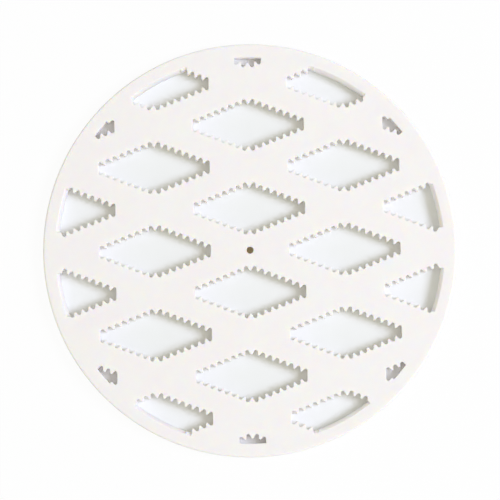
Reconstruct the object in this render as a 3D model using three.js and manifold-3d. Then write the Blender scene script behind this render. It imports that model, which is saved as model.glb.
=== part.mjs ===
// Pastry lattice cutter: a white moulded disc, pierced by a lattice of toothed diamond openings.
// Under its face stand a cutting wall round each opening and a skirt round the rim.
// Millimetres, Z up. The disc is centred on the Z axis, and its skirt and cutting edges stand on z = 0.
// The diamonds are long in X. Their columns run along Y, and every other column is half a row higher.
import * as THREE from "three";
import { mergeVertices } from "three/addons/utils/BufferGeometryUtils.js";
import Module from "manifold-3d";

// Disc
const discDiameter = 300;
const totalHeight = 12;
const plateThickness = 3;
const outerEdgeRadius = 1.5;
const centreHoleDiameter = 5;

// Skirt under the rim
const skirtThickness = 2.8;
const skirtFootChamfer = 0.5;

// Lattice of openings, cut off by an arc inside the rim
const columnPitch = 68.8;
const rowPitch = 60.8;
const rimWidth = 11;
const arcBevelWidth = 2.1;
const arcBevelDepth = 2.4;
const smallestOpeningArea = 20;

// Small openings beside the rim, whose arc is plain and lies further out
const smallestBevelledArea = 250;
const plainRimWidth = 9.9;

// One toothed diamond opening
const openingLength = 80.6;
const openingHeight = 37.5;
const endFlatLength = 8.8;
const centreToothWidth = 7.3;
const notchesPerSide = 8;
const notchWidth = 1.8;
const toothDepth = 3.1;
const toothTipWidth = 1.1;

// Cutting wall under an opening
const wallThickness = 2;
const cuttingBevelHeight = 4;

// Facets of round shapes
const rimFacets = 96;
const edgeRoundFacets = 4;
const centreHoleFacets = 24;

// Flat that a round or a bevel leaves on the wall it is made on, at the least
const leastFlat = 0.3;

// Allowance by which a cutting tool runs past the faces it cuts
const toolOverrun = 1;

// Points closer than this are one point, and points whose turn spans less area lie on one straight line
const mergeDistance = 1e-4;
const straightTurnArea = 1e-4;

const discRadius = discDiameter / 2;
const plateUnderside = totalHeight - plateThickness;
const outerEdgeRound = Math.min(outerEdgeRadius, plateThickness - leastFlat);
const skirtChamfer = Math.min(skirtFootChamfer, (skirtThickness - leastFlat) / 2);
const wallBevelHeight = Math.min(cuttingBevelHeight, plateUnderside - leastFlat);
const arcBevelHeight = Math.min(arcBevelDepth, plateThickness - leastFlat);
const arcRadius = discRadius - rimWidth;
const plainArcRadius = discRadius - plainRimWidth;
const bevelWidening = arcBevelWidth / arcBevelHeight;
const bevelToolRadius = arcRadius + arcBevelWidth + toolOverrun * bevelWidening;

const wasm = await Module();
wasm.setup();

// Solids and meshes

function solidFrom(geometry) {
  geometry.deleteAttribute("normal");
  geometry.deleteAttribute("uv");
  const merged = mergeVertices(geometry, mergeDistance);
  const vertProperties = new Float32Array(merged.attributes.position.array);
  const triVerts = new Uint32Array(merged.index.array);
  return new wasm.Manifold(new wasm.Mesh({ numProp: 3, vertProperties, triVerts }));
}

function geometryFrom(solid) {
  const mesh = solid.getMesh();
  const geometry = new THREE.BufferGeometry();
  geometry.setAttribute("position", new THREE.BufferAttribute(mesh.vertProperties, mesh.numProp));
  geometry.setIndex(new THREE.BufferAttribute(mesh.triVerts, 1));
  geometry.computeVertexNormals();
  return geometry;
}

function prism(loop, bottom, top) {
  const options = { depth: top - bottom, bevelEnabled: false };
  return new THREE.ExtrudeGeometry(new THREE.Shape(loop), options).translate(0, 0, bottom);
}

// A solid of revolution about Z. The profile's points are (radius, height), anticlockwise.
function turned(profile, facets) {
  const points = profile.map(([radius, height]) => new THREE.Vector2(radius, height));
  return new THREE.LatheGeometry(points, facets).rotateX(Math.PI / 2);
}

function whitePlastic() {
  return new THREE.MeshStandardMaterial({ color: 0xf2f0ee, roughness: 0.45, metalness: 0 });
}

function namedMesh(name, geometry) {
  const mesh = new THREE.Mesh(geometry, whitePlastic());
  mesh.name = name;
  return mesh;
}

// Outline of one opening

// The bottoms of a side's notches lie on one straight line. It runs from the middle of the notch
// beside the centre tooth to the corner of the opening's flat end.
const firstNotch = new THREE.Vector2(centreToothWidth / 2, openingHeight / 2);
const endCorner = new THREE.Vector2(openingLength / 2, endFlatLength / 2);
const along = endCorner.clone().sub(firstNotch).normalize();
const outward = new THREE.Vector2(-along.y, along.x);
const notchLineLength = endCorner.distanceTo(firstNotch);
const toothPitch = (notchLineLength - notchWidth / 2) / (notchesPerSide - 1);

function onSide(distance, depth) {
  return firstNotch.clone().addScaledVector(along, distance).addScaledVector(outward, -depth);
}

// The side in the first quadrant, from the flat end up to the tip of the centre tooth.
function quarterOutline() {
  const points = [];
  for (let notch = notchesPerSide - 1; notch >= 0; notch--) {
    const middle = notch * toothPitch;
    points.push(onSide(middle + notchWidth / 2, 0));
    points.push(onSide(middle - notchWidth / 2, 0));
    if (notch === 0) continue;
    const tip = middle - toothPitch / 2;
    points.push(onSide(tip + toothTipWidth / 2, toothDepth));
    points.push(onSide(tip - toothTipWidth / 2, toothDepth));
  }
  points.push(new THREE.Vector2(toothTipWidth / 2, openingHeight / 2 - toothDepth));
  return points;
}

function mirrored(points, signX, signY) {
  return points.map((p) => new THREE.Vector2(signX * p.x, signY * p.y));
}

function toothedDiamond() {
  const quarter = quarterOutline();
  const back = quarter.toReversed();
  return [
    ...quarter,
    ...mirrored(back, -1, 1),
    ...mirrored(quarter, -1, -1),
    ...mirrored(back, 1, -1),
  ];
}

// Where the segment from a to b crosses a circle about the disc's centre.
function crossing(a, b, radius) {
  const step = b.clone().sub(a);
  const squareOfStep = step.lengthSq();
  const half = a.dot(step) / squareOfStep;
  const root = Math.sqrt(half * half - (a.lengthSq() - radius * radius) / squareOfStep);
  const share = a.length() > radius ? -half - root : -half + root;
  return a.clone().addScaledVector(step, share);
}

// A circle's points from one place anticlockwise to another, on the facets that the round shapes share.
function arcBetween(from, to, radius) {
  const facet = (2 * Math.PI) / rimFacets;
  const start = from.angle();
  const end = start + anticlockwise(from, to);
  const angles = [start];
  for (let n = Math.floor(start / facet) + 1; n * facet < end; n++) angles.push(n * facet);
  angles.push(end);
  return angles.map((angle) => new THREE.Vector2(radius * Math.cos(angle), radius * Math.sin(angle)));
}

function anticlockwise(from, to) {
  return (to.angle() - from.angle() + 2 * Math.PI) % (2 * Math.PI);
}

// The stretches of an outline that lie inside the circle, each from its way in to its way out.
function stretchesInside(outline, radius) {
  const stretches = [];
  const start = outline.findIndex((p) => p.length() >= radius);
  const turn = [...outline.slice(start), ...outline.slice(0, start + 1)];
  for (let n = 0; n + 1 < turn.length; n++) {
    const [a, b] = [turn[n], turn[n + 1]];
    const [aInside, bInside] = [a.length() < radius, b.length() < radius];
    if (!aInside && bInside) stretches.push([crossing(a, b, radius)]);
    if (bInside) stretches.at(-1).push(b);
    if (aInside && !bInside) stretches.at(-1).push(crossing(a, b, radius));
  }
  return stretches;
}

// The largest piece that the circle leaves of an anticlockwise outline. Each arc that closes it lies
// at the radius arcReach, which is the circle's own or, for a plain arc or a bevel's tool, a larger one.
function insideCircle(outline, radius, arcReach) {
  if (outline.every((p) => p.length() < radius)) return outline;
  const stretches = stretchesInside(outline, radius);
  const nextAfter = (stretch) => {
    const sweep = (other) => anticlockwise(stretch.at(-1), other[0]);
    return stretches.reduce((best, other) => (sweep(other) < sweep(best) ? other : best));
  };
  let largest = [];
  for (const first of stretches) {
    const piece = [];
    let stretch = first;
    do {
      const next = nextAfter(stretch);
      const arc = arcBetween(stretch.at(-1), next[0], arcReach);
      piece.push(...stretch, ...(arcReach === radius ? arc.slice(1, -1) : arc));
      stretch = next;
    } while (stretch !== first);
    if (THREE.ShapeUtils.area(piece) > THREE.ShapeUtils.area(largest)) largest = piece;
  }
  return largest;
}

// Corners of the convex outline round some points, anticlockwise.
function convexCorners(points) {
  const sorted = points.toSorted((p, q) => p.x - q.x || p.y - q.y);
  const chain = (ordered) => {
    const corners = [];
    const isNoCorner = (p) => turnArea(corners.at(-2), corners.at(-1), p) < straightTurnArea;
    for (const p of ordered) {
      while (corners.length > 1 && isNoCorner(p)) corners.pop();
      corners.push(p);
    }
    return corners.slice(0, -1);
  };
  return [...chain(sorted), ...chain(sorted.toReversed())];
}

function turnArea(a, b, c) {
  return (b.x - a.x) * (c.y - a.y) - (b.y - a.y) * (c.x - a.x);
}

// A convex anticlockwise outline with each of its edges moved outwards.
function grown(corners, distance) {
  return corners.map((corner, n) => {
    const before = corners.at(n - 1);
    const after = corners[(n + 1) % corners.length];
    const arriving = corner.clone().sub(before).normalize();
    const leaving = after.clone().sub(corner).normalize();
    const mitre = new THREE.Vector2(arriving.y + leaving.y, -arriving.x - leaving.x);
    return corner.clone().addScaledVector(mitre, distance / (1 + arriving.dot(leaving)));
  });
}

// Lattice

// A place counted from the middle of the lattice, such as left2, middle or upper1.
function placeName(place, before, after) {
  if (place === 0) return "middle";
  return place < 0 ? `${before}${-place}` : `${after}${place}`;
}

// Every diamond of the lattice that leaves an opening inside the arc, column by column, top row first.
function latticeOpenings() {
  const openings = [];
  const columns = Math.ceil((arcRadius + openingLength / 2) / columnPitch);
  const rows = Math.ceil((arcRadius + openingHeight / 2) / rowPitch);
  for (let column = -columns; column <= columns; column++) {
    const staggered = column % 2 === 0;
    for (let row = rows; row >= -rows; row--) {
      // A staggered column has no row at the middle
      if (staggered && row === 0) continue;
      const rowHeight = staggered ? row - Math.sign(row) / 2 : row;
      const centre = new THREE.Vector2(column * columnPitch, rowHeight * rowPitch);
      const whole = toothedDiamond().map((p) => p.add(centre));
      if (whole.every((p) => p.length() >= arcRadius)) continue;
      const inner = insideCircle(whole, arcRadius, arcRadius);
      const area = THREE.ShapeUtils.area(inner);
      if (area < smallestOpeningArea) continue;
      const plain = area < smallestBevelledArea;
      const toothed = plain ? insideCircle(whole, arcRadius, plainArcRadius) : inner;
      const cut = plain ? toothed : insideCircle(whole, arcRadius, bevelToolRadius);
      const smooth = grown(convexCorners(toothed), wallThickness);
      const place = `${placeName(column, "left", "right")}_${placeName(row, "lower", "upper")}`;
      openings.push({ place, plain, toothed, cut, smooth });
    }
  }
  return openings;
}

// Face plate

function discBlank() {
  const roundCentre = [discRadius - outerEdgeRound, totalHeight - outerEdgeRound];
  const profile = [
    [0, plateUnderside],
    [discRadius, plateUnderside],
  ];
  for (let step = 0; step <= edgeRoundFacets; step++) {
    const angle = (step / edgeRoundFacets) * (Math.PI / 2);
    profile.push([
      roundCentre[0] + outerEdgeRound * Math.cos(angle),
      roundCentre[1] + outerEdgeRound * Math.sin(angle),
    ]);
  }
  profile.push([0, totalHeight]);
  return turned(profile, rimFacets);
}

// What the bevelled openings are kept inside: a cylinder that widens by the arc's bevel towards the face.
function arcLimit() {
  return turned(
    [
      [0, plateUnderside - toolOverrun],
      [arcRadius, plateUnderside - toolOverrun],
      [arcRadius, totalHeight - arcBevelHeight],
      [bevelToolRadius, totalHeight + toolOverrun],
      [0, totalHeight + toolOverrun],
    ],
    rimFacets,
  );
}

function facePlate(openings) {
  const bottom = plateUnderside - toolOverrun;
  const top = totalHeight + toolOverrun;
  const limit = solidFrom(arcLimit());
  const centreHole = [
    [0, bottom],
    [centreHoleDiameter / 2, bottom],
    [centreHoleDiameter / 2, top],
    [0, top],
  ];
  let plate = solidFrom(discBlank()).subtract(solidFrom(turned(centreHole, centreHoleFacets)));
  for (const { cut, plain } of openings) {
    const tool = solidFrom(prism(cut, bottom, top));
    plate = plate.subtract(plain ? tool : tool.intersect(limit));
  }
  return geometryFrom(plate);
}

// Rim skirt

function rimSkirt() {
  const inner = discRadius - skirtThickness;
  const profile = [
    [inner + skirtChamfer, 0],
    [discRadius - skirtChamfer, 0],
    [discRadius, skirtChamfer],
    [discRadius, plateUnderside],
    [inner, plateUnderside],
    [inner, skirtChamfer],
    [inner + skirtChamfer, 0],
  ];
  return turned(profile, rimFacets);
}

// Cutting wall: toothed inside from top to foot, smooth outside, and bevelled from the outside to the edge.
function cuttingWall({ toothed, smooth }) {
  const levels = [
    { loop: toothed, height: 0 },
    { loop: toothed, height: plateUnderside },
    { loop: smooth, height: wallBevelHeight },
    { loop: smooth, height: plateUnderside },
  ];
  const positions = [];
  const starts = [];
  for (const { loop, height } of levels) {
    starts.push(positions.length / 3);
    for (const p of loop) positions.push(p.x, p.y, height);
  }
  const [innerFoot, innerTop, outerFoot, outerTop] = starts;
  const faces = [];
  const strip = (lower, upper, count, facesOut) => {
    for (let n = 0; n < count; n++) {
      const next = (n + 1) % count;
      const quad = [lower + n, lower + next, upper + next, upper + n];
      const [a, b, c, d] = facesOut ? quad : quad.toReversed();
      faces.push(a, b, c, a, c, d);
    }
  };
  strip(innerFoot, innerTop, toothed.length, false);
  strip(outerFoot, outerTop, smooth.length, true);
  // The flat ring between the outlines is the wall's top, and the same ring slopes as its bevelled foot.
  const ring = THREE.ShapeUtils.triangulateShape([...smooth], [[...toothed]]);
  const vertex = (index, outer, inner) =>
    index < smooth.length ? outer + index : inner + index - smooth.length;
  for (const corners of ring) {
    const [a, b, c] = corners.map((index) => vertex(index, outerTop, innerTop));
    const [d, e, f] = corners.map((index) => vertex(index, outerFoot, innerFoot));
    faces.push(a, b, c, d, f, e);
  }
  const geometry = new THREE.BufferGeometry();
  geometry.setAttribute("position", new THREE.Float32BufferAttribute(positions, 3));
  geometry.setIndex(faces);
  geometry.computeVertexNormals();
  return geometry;
}

// Assembly

const cutter = new THREE.Group();
const openings = latticeOpenings();
cutter.add(namedMesh("face_plate", facePlate(openings)));
cutter.add(namedMesh("rim_skirt", rimSkirt()));
for (const opening of openings) {
  cutter.add(namedMesh(`cutting_wall_${opening.place}`, cuttingWall(opening)));
}

export default cutter;
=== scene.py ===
"""Pastry lattice cutter: the moulded surface of each piece, its finish, the floor, the light and the camera.

Metres, Z up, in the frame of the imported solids: the disc is centred on the Z axis and stands on z = 0.
"""
import math

import bmesh
import bpy
import numpy as np
from mathutils import Euler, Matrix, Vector
from mathutils.geometry import delaunay_2d_cdt


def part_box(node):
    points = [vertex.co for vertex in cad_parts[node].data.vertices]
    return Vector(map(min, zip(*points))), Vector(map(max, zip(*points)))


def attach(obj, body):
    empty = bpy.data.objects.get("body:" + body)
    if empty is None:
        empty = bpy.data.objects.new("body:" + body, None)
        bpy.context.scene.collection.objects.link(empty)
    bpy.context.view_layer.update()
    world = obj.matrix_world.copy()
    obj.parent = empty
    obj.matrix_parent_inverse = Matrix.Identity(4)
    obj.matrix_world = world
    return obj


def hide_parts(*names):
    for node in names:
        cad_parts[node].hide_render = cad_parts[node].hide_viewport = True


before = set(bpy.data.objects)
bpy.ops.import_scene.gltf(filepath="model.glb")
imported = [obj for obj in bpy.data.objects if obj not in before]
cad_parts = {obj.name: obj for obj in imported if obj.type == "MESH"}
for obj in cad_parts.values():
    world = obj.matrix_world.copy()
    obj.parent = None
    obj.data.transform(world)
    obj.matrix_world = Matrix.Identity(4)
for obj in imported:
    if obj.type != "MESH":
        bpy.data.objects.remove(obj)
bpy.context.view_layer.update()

MM = 0.001

# Places taken from the solids
PLATE_LOW, PLATE_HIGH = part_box("face_plate")
DISC_RADIUS = PLATE_HIGH.x
FACE = PLATE_HIGH.z
UNDERSIDE = PLATE_LOW.z
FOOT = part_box("rim_skirt")[0].z
COLUMN_PITCH = sum(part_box("cutting_wall_right1_middle"), Vector()).x / 2
ROW_PITCH = sum(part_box("cutting_wall_right1_upper1"), Vector()).y / 2

# Disc
OUTER_EDGE_RADIUS = 1.5 * MM
CENTRE_HOLE_RADIUS = 2.5 * MM
CENTRE_HOLE_EDGE = 0.3 * MM
RIM_STEPS = 360
RIM_EDGE_STEPS = 8
HOLE_STEPS = 48
HOLE_EDGE_STEPS = 3

# Skirt under the rim
SKIRT_THICKNESS = 2.8 * MM
SKIRT_FOOT_RADIUS = 0.5 * MM
SKIRT_ROOT_RADIUS = 1.0 * MM

# Arc that cuts the lattice off, and the bevel on it
RIM_WIDTH = 11.0 * MM
ARC_RADIUS = DISC_RADIUS - RIM_WIDTH
BEVEL_WIDTH = 2.1 * MM
BEVEL_DEPTH = 2.4 * MM
BEVEL_EDGE = 0.2 * MM
ARC_STEP = math.radians(0.75)
CLOSEST_TO_ARC = 0.3 * MM

# Small openings beside the rim, whose arc is plain and lies further out
SMALLEST_BEVELLED_AREA = 250 * MM * MM
PLAIN_RIM_WIDTH = 9.9 * MM
PLAIN_ARC_RADIUS = DISC_RADIUS - PLAIN_RIM_WIDTH

# One toothed diamond opening
OPENING_LENGTH = 80.6 * MM
OPENING_HEIGHT = 37.5 * MM
END_FLAT = 8.8 * MM
CENTRE_TOOTH_WIDTH = 7.3 * MM
CENTRE_TOOTH_APEX = 14.55 * MM
NOTCHES_PER_SIDE = 8
NOTCH_RADIUS = 1.4 * MM
TIP_RADIUS = 0.88 * MM
FLANK_ANGLE = math.radians(21)
TOOTH_EDGE_RADIUS = 0.22 * MM
ROUND_STEP = math.radians(20)

# Cutting wall under an opening
WALL_THICKNESS = 2.0 * MM
WALL_BEVEL_HEIGHT = 4.0 * MM
WALL_LAND = 0.35 * MM
WALL_FOOT_EDGE = 0.12 * MM
WALL_ROOT_RADIUS = 0.8 * MM

# Steps of a quarter round under the plate
LOWER_EDGE_STEPS = 4

# Points closer than this are one point
SAME_POINT = 1e-7
# Corners that turn by less than this area lie on one straight line
STRAIGHT_TURN = 1e-8
# A mitre is at most this many times as long as the offset that it makes
LONGEST_MITRE = 2.0

# Camera: the photograph is a square of 500 pixels, and the disc is 414 pixels wide in it
PICTURE_PIXELS = 500
DISC_PIXELS = 414
DISC_CENTRE_PIXEL = (250.05, 250.1)
PICTURE_ROLL = math.radians(0.8)
CAMERA_TILT = math.radians(3)
LENS_MM = 250
SENSOR_MM = 36

# Light
KEY_AZIMUTH = math.radians(0)
KEY_ELEVATION = math.radians(51)
KEY_DISTANCE = 6.0
KEY_SIZE = 2.8
KEY_POWER = 250.0
KEY_COLOUR = (0.79, 0.797, 0.965)
AMBIENT_COLOUR = (1.0, 0.965, 0.79)
AMBIENT_STRENGTH = 0.60
FILL_AZIMUTH = math.radians(-135)
FILL_SHARE = 0.2
# Times that light may be passed on between white walls
DIFFUSE_BOUNCES = 12

# Plastic: two close shades, which drift into each other, and a roughness that drifts too
SHADES = ((0.920, 0.902, 0.909, 1), (0.940, 0.918, 0.927, 1))
SHADE_NOISE = (28, 4)
ROUGHNESS_RANGE = (0.40, 0.50)
ROUGHNESS_NOISE = (90, 5)
# Most of a noise's values lie between these two
NOISE_RANGE = (0.3, 0.7)
REFRACTIVE_INDEX = 1.49
SCATTERED_SHARE = 0.9
SCATTER_DEPTH = 2.5 * MM
SCATTER_OF_COLOURS = (1.0, 0.8, 0.5)
# Light that soaks through one surface of the plastic
SOAKED_COLOUR = (0.41, 0.33, 0.19)

# Relief of the plastic. A noise is given by its scale and its detail.
WAVE_NOISE = (35, 2)
WAVE_STRENGTH = 0.10
WAVE_HEIGHT = 0.4 * MM
GRAIN_NOISE = (2200, 3)
GRAIN_STRENGTH = 0.12
GRAIN_HEIGHT = 0.06 * MM

# Floor
FLOOR_SIZE = 12.0
FLOOR_GAP = 0.1 * MM
FLOOR_COLOUR = (0.852, 0.885, 0.882)
WHITE_SHARE = 0.94
WHITE_FADE = SKIRT_THICKNESS


# Outlines

def unit(vector):
    return vector / np.linalg.norm(vector)


def cross(a, b):
    return a[0] * b[1] - a[1] * b[0]


def turned_by(vector, angle):
    cos, sin = math.cos(angle), math.sin(angle)
    return np.array((cos * vector[0] - sin * vector[1], sin * vector[0] + cos * vector[1]))


def rounded(corners):
    """A closed outline whose sharp corners, given as (x, y, radius), are rounded by arcs."""
    points = []
    for n, (x, y, radius) in enumerate(corners):
        here = np.array((x, y))
        arriving = unit(here - corners[n - 1][:2])
        leaving = unit(np.array(corners[(n + 1) % len(corners)][:2]) - here)
        turn = math.atan2(cross(arriving, leaving), arriving @ leaving)
        start = here - arriving * radius * math.tan(abs(turn) / 2)
        centre = start + radius * turned_by(arriving, math.copysign(math.pi / 2, turn))
        steps = math.ceil(abs(turn) / ROUND_STEP)
        for step in range(steps + 1):
            points.append(centre + turned_by(start - centre, turn * step / steps))
    return np.array(points)


def meeting(a, along_a, b, along_b):
    """Where the line through a along one direction meets the line through b along another."""
    share = cross(b - a, along_b) / cross(along_a, along_b)
    return a + along_a * share


def touching(point, centre, radius):
    """The direction from a point along the line that touches a circle on its left side."""
    towards = centre - point
    return turned_by(unit(towards), math.asin(radius / np.linalg.norm(towards)))


def mirrored(corners, sign_x, sign_y):
    return [(sign_x * x, sign_y * y, radius) for x, y, radius in corners]


def toothed_diamond():
    """Outline of one whole opening about its own centre, anticlockwise from the flat end on the right."""
    first_notch = np.array((CENTRE_TOOTH_WIDTH / 2, OPENING_HEIGHT / 2))
    half_length = OPENING_LENGTH / 2
    along = unit(np.array((half_length, END_FLAT / 2)) - first_notch)
    outward = np.array((-along[1], along[0]))
    # The last notch's round ends on the flat end, and this sets the pitch of the teeth
    reach = half_length - first_notch[0] - NOTCH_RADIUS * (1 - outward[0])
    pitch = reach / along[0] / (NOTCHES_PER_SIDE - 1)
    notch_apex = NOTCH_RADIUS * (1 / math.sin(FLANK_ANGLE) - 1)
    apex_depth = pitch / 2 / math.tan(FLANK_ANGLE)

    def on_side(place, depth):
        return first_notch + along * place * pitch + outward * (notch_apex - depth)

    last = NOTCHES_PER_SIDE - 1
    first_tip, last_tip = on_side(0.5, apex_depth), on_side(last - 0.5, apex_depth)
    end_corner = meeting(last_tip, on_side(last, 0) - last_tip, np.array((half_length, 0)), np.array((0, 1)))
    centre_apex = np.array((0, CENTRE_TOOTH_APEX))
    centre_flank = touching(centre_apex, first_notch - outward * NOTCH_RADIUS, NOTCH_RADIUS)
    first_corner = meeting(first_tip, on_side(0, 0) - first_tip, centre_apex, centre_flank)
    quarter = [(*end_corner, NOTCH_RADIUS)]
    for notch in range(last - 1, 0, -1):
        quarter.append((*on_side(notch + 0.5, apex_depth), TIP_RADIUS))
        quarter.append((*on_side(notch, 0), NOTCH_RADIUS))
    quarter.append((*first_tip, TIP_RADIUS))
    quarter.append((*first_corner, NOTCH_RADIUS))
    back = quarter[::-1]
    top_tooth = (0, CENTRE_TOOTH_APEX, TIP_RADIUS)
    bottom_tooth = (0, -CENTRE_TOOTH_APEX, TIP_RADIUS)
    return rounded([
        *quarter, top_tooth, *mirrored(back, -1, 1),
        *mirrored(quarter, -1, -1), bottom_tooth, *mirrored(back, 1, -1),
    ])


def crossing(a, b):
    """Where the segment from a to b crosses the arc's circle."""
    step = b - a
    half = (a @ step) / (step @ step)
    root = math.sqrt(half * half - (a @ a - ARC_RADIUS ** 2) / (step @ step))
    share = -half - root if a @ a > ARC_RADIUS ** 2 else -half + root
    return a + step * share


def stretches_inside(outline):
    """The stretches of an outline inside the arc's circle, each from its way in to its way out."""
    inside = np.hypot(*outline.T) < ARC_RADIUS
    start = int(np.argmin(inside))
    order = [*range(start, len(outline)), *range(start + 1)]
    stretches = []
    for a, b in zip(order, order[1:]):
        if not inside[a] and inside[b]:
            stretches.append([crossing(outline[a], outline[b])])
        if inside[b]:
            stretches[-1].append(outline[b])
        if inside[a] and not inside[b]:
            stretches[-1].append(crossing(outline[a], outline[b]))
    return [without_close_points(np.array(stretch)) for stretch in stretches]


def without_close_points(stretch):
    """A stretch without the points that lie close to its two ends."""
    far = np.linalg.norm(stretch - stretch[0], axis=1) > CLOSEST_TO_ARC
    far &= np.linalg.norm(stretch - stretch[-1], axis=1) > CLOSEST_TO_ARC
    far[[0, -1]] = True
    return stretch[far]


def angle_of(point):
    return math.atan2(point[1], point[0])


def anticlockwise(start, end):
    return (angle_of(end) - angle_of(start)) % math.tau


def arc_between(start, end):
    sweep = anticlockwise(start, end)
    steps = math.ceil(sweep / ARC_STEP)
    return [turned_by(start, sweep * step / steps) for step in range(steps + 1)]


def area(points):
    points = np.array(points)
    x, y = points.T
    return (x @ np.roll(y, -1) - y @ np.roll(x, -1)) / 2


def inside_arc(outline):
    """The largest piece of an outline inside the arc, and which of its points are on the arc.

    Where the teeth meet the arc, the point is there twice: once as the teeth's and once as the arc's.
    """
    if (np.hypot(*outline.T) < ARC_RADIUS).all():
        return outline, np.zeros(len(outline), bool)
    stretches = stretches_inside(outline)
    pieces = []
    for first in stretches:
        points, on_arc = [], []
        stretch = first
        while True:
            after = min(stretches, key=lambda other: anticlockwise(stretch[-1], other[0]))
            arc = arc_between(stretch[-1], after[0])
            points += [*stretch, *arc]
            on_arc += [False] * len(stretch) + [True] * len(arc)
            stretch = after
            if stretch is first:
                break
        pieces.append((points, on_arc))
    points, on_arc = max(pieces, key=lambda piece: area(piece[0]))
    return np.array(points), np.array(on_arc)


def beside_rim(outline):
    """What the rim leaves of an outline, and which of its points are on a bevelled arc."""
    points, on_arc = inside_arc(outline)
    if area(points) < SMALLEST_BEVELLED_AREA:
        points[on_arc] *= PLAIN_ARC_RADIUS / ARC_RADIUS
        on_arc[:] = False
    return points, on_arc


def mitres(points):
    """For each corner of a closed anticlockwise outline, the move that shifts its edges outwards by one."""
    arriving = points - np.roll(points, 1, axis=0)
    arriving /= np.linalg.norm(arriving, axis=1)[:, None]
    leaving = np.roll(arriving, -1, axis=0)
    normals = np.stack((arriving[:, 1] + leaving[:, 1], -arriving[:, 0] - leaving[:, 0]), axis=1)
    normals /= (1 + (arriving * leaving).sum(1))[:, None]
    lengths = np.linalg.norm(normals, axis=1)
    return normals * np.minimum(1, LONGEST_MITRE / lengths)[:, None]


def turn_area(a, b, c):
    return (b[0] - a[0]) * (c[1] - a[1]) - (b[1] - a[1]) * (c[0] - a[0])


def convex_corners(points):
    """Corners of the convex outline round some points, anticlockwise."""
    ordered = sorted(map(tuple, points))

    def chain(along):
        corners = []
        for p in along:
            while len(corners) > 1 and turn_area(corners[-2], corners[-1], p) < STRAIGHT_TURN:
                corners.pop()
            corners.append(p)
        return corners[:-1]

    return np.array([*chain(ordered), *chain(ordered[::-1])])


def surrounds(outline, point):
    """Whether a closed outline goes round a point."""
    x, y = outline.T
    next_x, next_y = np.roll(outline, -1, axis=0).T
    level = (y > point[1]) != (next_y > point[1])
    share = (point[1] - y[level]) / (next_y[level] - y[level])
    crossed = x[level] + share * (next_x[level] - x[level]) > point[0]
    return np.count_nonzero(crossed) % 2 == 1


def circle(radius, steps):
    angles = np.arange(steps) * math.tau / steps
    return radius * np.stack((np.cos(angles), np.sin(angles)), axis=1)


# Lattice

def place_count(word):
    """The count in a word such as left2 or upper1, negative to the left and below, and 0 for middle."""
    if word == "middle":
        return 0
    count = int(word[-1])
    return -count if word[:-1] in ("left", "lower") else count


def opening_centre(place):
    column, row = map(place_count, place.split("_"))
    staggered = column % 2 == 0
    row_height = row - math.copysign(0.5, row) if staggered else row
    return np.array((column * COLUMN_PITCH, row_height * ROW_PITCH))


def lattice_openings():
    """For each cutting wall's place, the points of its opening and which of them are on a bevelled arc."""
    diamond = toothed_diamond()
    prefix = "cutting_wall_"
    places = [name.removeprefix(prefix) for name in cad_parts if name.startswith(prefix)]
    return {place: beside_rim(diamond + opening_centre(place)) for place in sorted(places)}


# Meshes

class Shell:
    """Vertices and faces of one closed piece. Rings that meet share their vertices."""

    def __init__(self):
        self.points = []
        self.index_of = {}
        self.faces = []
        self.smooth = []

    def ring(self, outline, heights):
        """Indices of an outline's points, raised to one height or to a height each."""
        indices = []
        for (x, y), z in zip(outline, np.broadcast_to(heights, len(outline))):
            key = tuple(round(c / SAME_POINT) for c in (x, y, z))
            if key not in self.index_of:
                self.index_of[key] = len(self.points)
                self.points.append((x, y, z))
            indices.append(self.index_of[key])
        return indices

    def add_face(self, corners, smooth):
        corners = [c for n, c in enumerate(corners) if c != corners[n - 1]]
        if len(set(corners)) > 2:
            self.faces.append(corners)
            self.smooth.append(smooth)

    def skin(self, rings):
        """Smooth faces from each ring to the next."""
        for low, high in zip(rings, rings[1:]):
            for n in range(len(low)):
                self.add_face((low[n - 1], low[n], high[n], high[n - 1]), True)

    def fill(self, rings):
        """Flat faces between an outer ring and the rings of the holes in it, all at one height."""
        corners = [list(dict.fromkeys(ring)) for ring in rings]
        order = [index for ring in corners for index in ring]
        place = {index: n for n, index in enumerate(order)}
        edges = [(place[ring[n - 1]], place[ring[n]]) for ring in corners for n in range(len(ring))]
        flat = [Vector(self.points[index][:2]) for index in order]
        inside_outer_ring = 1
        _, _, faces, sources, _, _ = delaunay_2d_cdt(flat, edges, [], inside_outer_ring, SAME_POINT)
        ring_of = {index: n for n, ring in enumerate(corners) for index in ring}
        outlines = [np.array([self.points[index][:2] for index in ring]) for ring in corners]
        for face in faces:
            indices = [order[sources[corner][0]] for corner in face]
            first, *others = {ring_of[index] for index in indices}
            middle = np.mean([self.points[index][:2] for index in indices], axis=0)
            in_hole = first > 0 and not others and surrounds(outlines[first], middle)
            if not in_hole:
                self.add_face(indices, False)

    def piece(self, name, nodes):
        """The Blender object, riding on the root body in place of some nodes."""
        mesh = bpy.data.meshes.new(name)
        mesh.from_pydata(self.points, [], self.faces)
        mesh.polygons.foreach_set("use_smooth", self.smooth)
        edit = bmesh.new()
        edit.from_mesh(mesh)
        bmesh.ops.recalc_face_normals(edit, faces=edit.faces)
        edit.to_mesh(mesh)
        edit.free()
        made = bpy.data.objects.new(name, mesh)
        bpy.context.scene.collection.objects.link(made)
        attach(made, "root")
        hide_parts(*nodes)
        return made


def quarter_round(steps):
    """(sine, 1 - cosine) pairs of a quarter circle, from its start to its end."""
    angles = [math.pi / 2 * step / steps for step in range(steps + 1)]
    return [(math.sin(angle), 1 - math.cos(angle)) for angle in angles]


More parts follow.
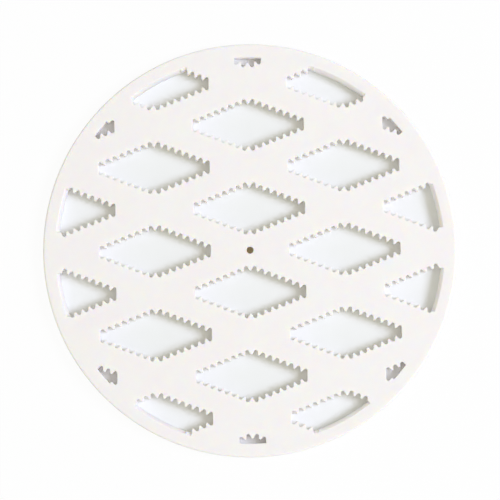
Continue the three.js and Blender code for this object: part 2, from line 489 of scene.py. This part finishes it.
def opening_rings(shell, points, on_arc):
    """Rings of the face plate round one opening, from the underside to the face.

    The teeth's edges are rounded at the face, and the arc's edge is bevelled.
    """
    radial = points / np.hypot(*points.T)[:, None]
    stretched = np.where(on_arc[:, None], points + radial * BEVEL_WIDTH, points)
    moves = np.where(on_arc[:, None], radial, mitres(stretched))
    bevel_foot = np.array((0, FACE - BEVEL_DEPTH))
    bevel_head = np.array((BEVEL_WIDTH, FACE))
    edge = BEVEL_EDGE * unit(bevel_head - bevel_foot)
    arc_profile = [
        (0, UNDERSIDE),
        (0, bevel_foot[1] - BEVEL_EDGE),
        bevel_foot + edge,
        bevel_foot + 2 * edge,
        bevel_head - 2 * edge,
        bevel_head - edge,
        (BEVEL_WIDTH + BEVEL_EDGE, FACE),
    ]
    tooth_profile = arc_profile[:2]
    for sine, widening in quarter_round(len(arc_profile) - len(tooth_profile) - 1):
        tooth_profile.append((TOOTH_EDGE_RADIUS * widening, FACE - TOOTH_EDGE_RADIUS * (1 - sine)))
    rings = []
    for (arc_offset, arc_height), (tooth_offset, tooth_height) in zip(arc_profile, tooth_profile):
        offsets = np.where(on_arc, arc_offset, tooth_offset)
        heights = np.where(on_arc, arc_height, tooth_height)
        rings.append(shell.ring(points + moves * offsets[:, None], heights))
    shell.skin(rings)
    return rings[0], rings[-1]


def plate_piece(openings):
    shell = Shell()
    low_rings, high_rings = [], []
    rim_rings = [shell.ring(circle(DISC_RADIUS, RIM_STEPS), UNDERSIDE)]
    for sine, narrowing in quarter_round(RIM_EDGE_STEPS):
        rim = circle(DISC_RADIUS - OUTER_EDGE_RADIUS * narrowing, RIM_STEPS)
        rim_rings.append(shell.ring(rim, FACE - OUTER_EDGE_RADIUS * (1 - sine)))
    shell.skin(rim_rings)
    hole_rings = [shell.ring(circle(CENTRE_HOLE_RADIUS, HOLE_STEPS), UNDERSIDE)]
    for sine, widening in quarter_round(HOLE_EDGE_STEPS):
        hole = circle(CENTRE_HOLE_RADIUS + CENTRE_HOLE_EDGE * widening, HOLE_STEPS)
        hole_rings.append(shell.ring(hole, FACE - CENTRE_HOLE_EDGE * (1 - sine)))
    shell.skin(hole_rings)
    for points, on_arc in openings.values():
        low, high = opening_rings(shell, points, on_arc)
        low_rings.append(low)
        high_rings.append(high)
    shell.fill([rim_rings[0], hole_rings[0], *low_rings])
    shell.fill([rim_rings[-1], hole_rings[-1], *high_rings])
    return shell.piece("plate_surface", ["face_plate"])


def skirt_piece():
    inner = DISC_RADIUS - SKIRT_THICKNESS
    profile = [(DISC_RADIUS, UNDERSIDE)]
    edge = quarter_round(LOWER_EDGE_STEPS)
    for sine, narrowing in edge:
        profile.append((DISC_RADIUS - SKIRT_FOOT_RADIUS * narrowing, FOOT + SKIRT_FOOT_RADIUS * (1 - sine)))
    for sine, narrowing in reversed(edge):
        profile.append((inner + SKIRT_FOOT_RADIUS * narrowing, FOOT + SKIRT_FOOT_RADIUS * (1 - sine)))
    for sine, widening in edge:
        profile.append((inner - SKIRT_ROOT_RADIUS * widening, UNDERSIDE - SKIRT_ROOT_RADIUS * (1 - sine)))
    shell = Shell()
    rings = [shell.ring(circle(radius, RIM_STEPS), height) for radius, height in profile]
    shell.skin(rings)
    shell.fill([rings[0], rings[-1]])
    return shell.piece("skirt_surface", ["rim_skirt"])


def wall_piece(place, points):
    """A cutting wall: toothed inside, smooth outside, with a bevelled foot and a rounded root."""
    shell = Shell()
    points = points[np.linalg.norm(points - np.roll(points, 1, axis=0), axis=1) > SAME_POINT]
    moves = mitres(points)
    inner = [
        shell.ring(points, UNDERSIDE),
        shell.ring(points, FOOT + WALL_FOOT_EDGE),
        shell.ring(points + moves * WALL_FOOT_EDGE, FOOT),
    ]
    shell.skin(inner)
    hull = convex_corners(points)
    hull_moves = mitres(hull)
    outer_profile = [(WALL_LAND, FOOT), (WALL_THICKNESS, FOOT + WALL_BEVEL_HEIGHT)]
    for sine, widening in quarter_round(LOWER_EDGE_STEPS):
        offset = WALL_THICKNESS + WALL_ROOT_RADIUS * widening
        outer_profile.append((offset, UNDERSIDE - WALL_ROOT_RADIUS * (1 - sine)))
    outer = [shell.ring(hull + hull_moves * offset, height) for offset, height in outer_profile]
    shell.skin(outer)
    shell.fill([outer[0], inner[-1]])
    shell.fill([outer[-1], inner[0]])
    return shell.piece(f"wall_surface_{place}", [f"cutting_wall_{place}"])


# Materials

def new_material(name):
    material = bpy.data.materials.new(name)
    material.use_nodes = True
    material.node_tree.nodes.clear()
    return material, material.node_tree.nodes, material.node_tree.links


def moulded_plastic():
    """Warm white satin plastic, slightly translucent, with the fine grain and faint waves of a moulding."""
    material, nodes, links = new_material("white_plastic")
    coordinates = nodes.new("ShaderNodeTexCoord")

    def noise(scale, detail):
        node = nodes.new("ShaderNodeTexNoise")
        node.inputs["Scale"].default_value = scale
        node.inputs["Detail"].default_value = detail
        links.new(coordinates.outputs["Object"], node.inputs["Vector"])
        return node.outputs["Fac"]

    def ranged(value, low, high):
        node = nodes.new("ShaderNodeMapRange")
        node.inputs["From Min"].default_value = NOISE_RANGE[0]
        node.inputs["From Max"].default_value = NOISE_RANGE[1]
        node.inputs["To Min"].default_value = low
        node.inputs["To Max"].default_value = high
        links.new(value, node.inputs["Value"])
        return node.outputs["Result"]

    def bump(height, strength, distance, normal=None):
        node = nodes.new("ShaderNodeBump")
        node.inputs["Strength"].default_value = strength
        node.inputs["Distance"].default_value = distance
        links.new(height, node.inputs["Height"])
        if normal:
            links.new(normal, node.inputs["Normal"])
        return node.outputs["Normal"]

    plastic = nodes.new("ShaderNodeBsdfPrincipled")
    colour = nodes.new("ShaderNodeMix")
    colour.data_type = "RGBA"
    colour.inputs["A"].default_value, colour.inputs["B"].default_value = SHADES
    links.new(ranged(noise(*SHADE_NOISE), 0, 1), colour.inputs["Factor"])
    links.new(colour.outputs["Result"], plastic.inputs["Base Color"])
    links.new(ranged(noise(*ROUGHNESS_NOISE), *ROUGHNESS_RANGE), plastic.inputs["Roughness"])
    plastic.inputs["IOR"].default_value = REFRACTIVE_INDEX
    plastic.inputs["Subsurface Weight"].default_value = SCATTERED_SHARE
    plastic.inputs["Subsurface Radius"].default_value = SCATTER_OF_COLOURS
    plastic.inputs["Subsurface Scale"].default_value = SCATTER_DEPTH
    waves = bump(noise(*WAVE_NOISE), WAVE_STRENGTH, WAVE_HEIGHT)
    grain = bump(noise(*GRAIN_NOISE), GRAIN_STRENGTH, GRAIN_HEIGHT, waves)
    links.new(grain, plastic.inputs["Normal"])
    # A little light soaks through into the shadows
    soaked = nodes.new("ShaderNodeBsdfTransparent")
    soaked.inputs["Color"].default_value = (*SOAKED_COLOUR, 1)
    path = nodes.new("ShaderNodeLightPath")
    surface = nodes.new("ShaderNodeMixShader")
    links.new(path.outputs["Is Shadow Ray"], surface.inputs["Fac"])
    links.new(plastic.outputs["BSDF"], surface.inputs[1])
    links.new(soaked.outputs["BSDF"], surface.inputs[2])
    output = nodes.new("ShaderNodeOutputMaterial")
    links.new(surface.outputs["Shader"], output.inputs["Surface"])
    return material


def seen_directly(nodes, links):
    """A value that is 1 for what the camera sees, also by a reflection or through glass."""
    path = nodes.new("ShaderNodeLightPath")
    either = nodes.new("ShaderNodeMath")
    either.operation = "MAXIMUM"
    links.new(path.outputs["Is Camera Ray"], either.inputs[0])
    links.new(path.outputs["Is Glossy Ray"], either.inputs[1])
    any_of_them = nodes.new("ShaderNodeMath")
    any_of_them.operation = "MAXIMUM"
    links.new(either.outputs["Value"], any_of_them.inputs[0])
    links.new(path.outputs["Is Transmission Ray"], any_of_them.inputs[1])
    return any_of_them.outputs["Value"]


def white_floor():
    """White paper, which away from the cutter turns to a clean white background with a faint shadow."""
    material, nodes, links = new_material("floor_paper")
    paper = nodes.new("ShaderNodeBsdfDiffuse")
    paper.inputs["Color"].default_value = (*FLOOR_COLOUR, 1)
    white = nodes.new("ShaderNodeEmission")
    white.inputs["Color"].default_value = (1, 1, 1, 1)
    white.inputs["Strength"].default_value = 1
    coordinates = nodes.new("ShaderNodeTexCoord")
    distance = nodes.new("ShaderNodeVectorMath")
    distance.operation = "LENGTH"
    links.new(coordinates.outputs["Object"], distance.inputs[0])
    away = nodes.new("ShaderNodeMapRange")
    away.inputs["From Min"].default_value = DISC_RADIUS - WHITE_FADE
    away.inputs["From Max"].default_value = DISC_RADIUS
    away.inputs["To Min"].default_value = 0
    away.inputs["To Max"].default_value = WHITE_SHARE
    links.new(distance.outputs["Value"], away.inputs["Value"])
    share = nodes.new("ShaderNodeMath")
    share.operation = "MULTIPLY"
    links.new(away.outputs["Result"], share.inputs[0])
    links.new(seen_directly(nodes, links), share.inputs[1])
    mixed = nodes.new("ShaderNodeMixShader")
    links.new(share.outputs["Value"], mixed.inputs["Fac"])
    links.new(paper.outputs["BSDF"], mixed.inputs[1])
    links.new(white.outputs["Emission"], mixed.inputs[2])
    output = nodes.new("ShaderNodeOutputMaterial")
    links.new(mixed.outputs["Shader"], output.inputs["Surface"])
    return material


# Stage

def make_floor():
    half = FLOOR_SIZE / 2
    mesh = bpy.data.meshes.new("floor")
    corners = [(-half, -half, 0), (half, -half, 0), (half, half, 0), (-half, half, 0)]
    mesh.from_pydata(corners, [], [(0, 1, 2, 3)])
    floor = bpy.data.objects.new("floor", mesh)
    floor.location.z = FOOT - FLOOR_GAP
    bpy.context.scene.collection.objects.link(floor)
    mesh.materials.append(white_floor())


def make_world():
    """Warm light from all round, stronger from the fill's side, in front of a white background."""
    world = bpy.data.worlds.new("studio")
    bpy.context.scene.world = world
    world.use_nodes = True
    nodes, links = world.node_tree.nodes, world.node_tree.links
    nodes.clear()
    ambient = nodes.new("ShaderNodeBackground")
    ambient.inputs["Color"].default_value = (*AMBIENT_COLOUR, 1)
    coordinates = nodes.new("ShaderNodeTexCoord")
    towards_fill = nodes.new("ShaderNodeVectorMath")
    towards_fill.operation = "DOT_PRODUCT"
    links.new(coordinates.outputs["Generated"], towards_fill.inputs[0])
    towards_fill.inputs[1].default_value = (math.cos(FILL_AZIMUTH), math.sin(FILL_AZIMUTH), 0)
    strength = nodes.new("ShaderNodeMapRange")
    strength.inputs["From Min"].default_value = -1
    strength.inputs["From Max"].default_value = 1
    strength.inputs["To Min"].default_value = AMBIENT_STRENGTH * (1 - FILL_SHARE)
    strength.inputs["To Max"].default_value = AMBIENT_STRENGTH * (1 + FILL_SHARE)
    links.new(towards_fill.outputs["Value"], strength.inputs["Value"])
    links.new(strength.outputs["Result"], ambient.inputs["Strength"])
    white = nodes.new("ShaderNodeBackground")
    white.inputs["Color"].default_value = (1, 1, 1, 1)
    white.inputs["Strength"].default_value = 1
    mixed = nodes.new("ShaderNodeMixShader")
    links.new(seen_directly(nodes, links), mixed.inputs["Fac"])
    links.new(ambient.outputs["Background"], mixed.inputs[1])
    links.new(white.outputs["Background"], mixed.inputs[2])
    output = nodes.new("ShaderNodeOutputWorld")
    links.new(mixed.outputs["Shader"], output.inputs["Surface"])


def make_key_light():
    """A soft box to the right of the cutter and above it."""
    lamp = bpy.data.lights.new("key", "AREA")
    lamp.shape = "DISK"
    lamp.size = KEY_SIZE
    lamp.energy = KEY_POWER
    lamp.color = KEY_COLOUR
    key = bpy.data.objects.new("key", lamp)
    level = math.cos(KEY_ELEVATION)
    towards = Vector((
        level * math.cos(KEY_AZIMUTH),
        level * math.sin(KEY_AZIMUTH),
        math.sin(KEY_ELEVATION),
    ))
    key.location = towards * KEY_DISTANCE
    key.rotation_euler = towards.to_track_quat("Z", "Y").to_euler()
    key.visible_camera = False
    bpy.context.scene.collection.objects.link(key)


def make_camera():
    """Almost straight above the disc, with a long lens, framed as the photograph is."""
    pixel = 2 * DISC_RADIUS / DISC_PIXELS
    lens = bpy.data.cameras.new("camera")
    lens.lens = LENS_MM
    lens.sensor_width = SENSOR_MM
    camera = bpy.data.objects.new("camera", lens)
    middle = PICTURE_PIXELS / 2
    right = (middle - DISC_CENTRE_PIXEL[0]) * pixel
    down = (middle - DISC_CENTRE_PIXEL[1]) * pixel
    distance = PICTURE_PIXELS * pixel * LENS_MM / SENSOR_MM
    turn = Euler((CAMERA_TILT, 0, -PICTURE_ROLL))
    camera.rotation_euler = turn
    camera.location = Vector((0, 0, FACE)) + turn.to_matrix() @ Vector((right, -down, distance))
    bpy.context.scene.collection.objects.link(camera)
    bpy.context.scene.camera = camera


# Assembly

bpy.context.scene.view_settings.view_transform = "Standard"
bpy.context.scene.cycles.diffuse_bounces = DIFFUSE_BOUNCES
make_camera()
make_world()
make_key_light()
make_floor()

openings = lattice_openings()
pieces = [plate_piece(openings), skirt_piece()]
pieces += [wall_piece(place, points) for place, (points, _) in openings.items()]
plastic = moulded_plastic()
for piece in pieces:
    piece.data.materials.append(plastic)
